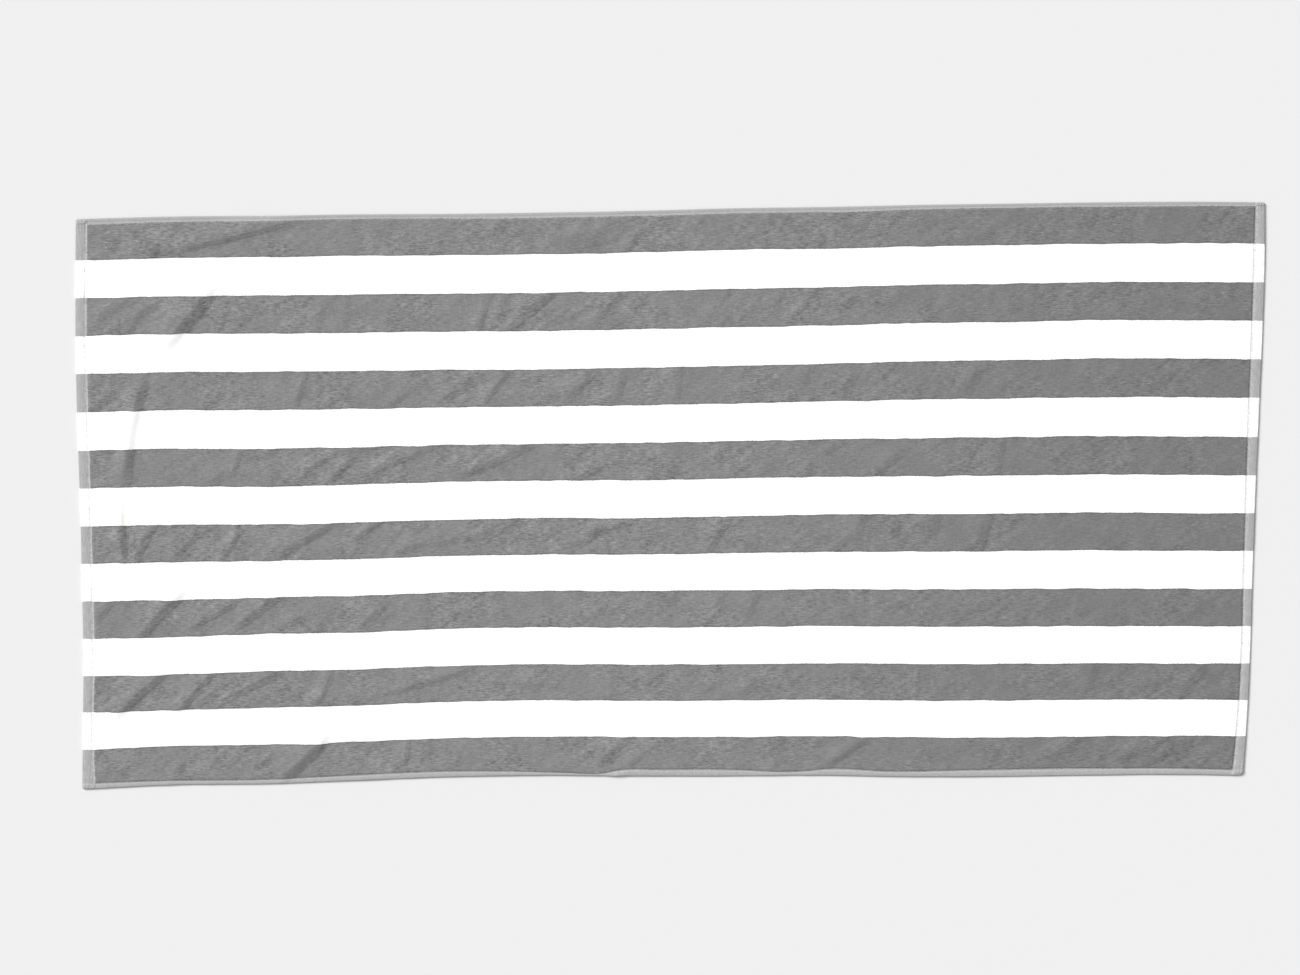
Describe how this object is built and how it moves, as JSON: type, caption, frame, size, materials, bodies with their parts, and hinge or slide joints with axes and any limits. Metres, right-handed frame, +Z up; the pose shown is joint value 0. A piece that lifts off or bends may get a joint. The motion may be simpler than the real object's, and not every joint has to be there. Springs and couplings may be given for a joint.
{
  "type": "beach towel",
  "caption": "Oblong striped beach towel of velour terry cloth, spread flat with a few soft creases; its ends and sides are turned under and stitched.",
  "frame": {"origin": "on the surface the towel lies on, under the middle of its outline", "axes": "+X along the length and the stripes, +Y across the width, +Z up out of the pile face"},
  "size_m": [1.5472, 0.7506, 0.007],
  "materials": {
    "cloth": "cotton velour terry in mid grey and white lengthwise stripes of equal width, with pale flat-woven hems"
  },
  "bodies": {
    "root": {"towel": "cloth"}
  },
  "joints": []
}
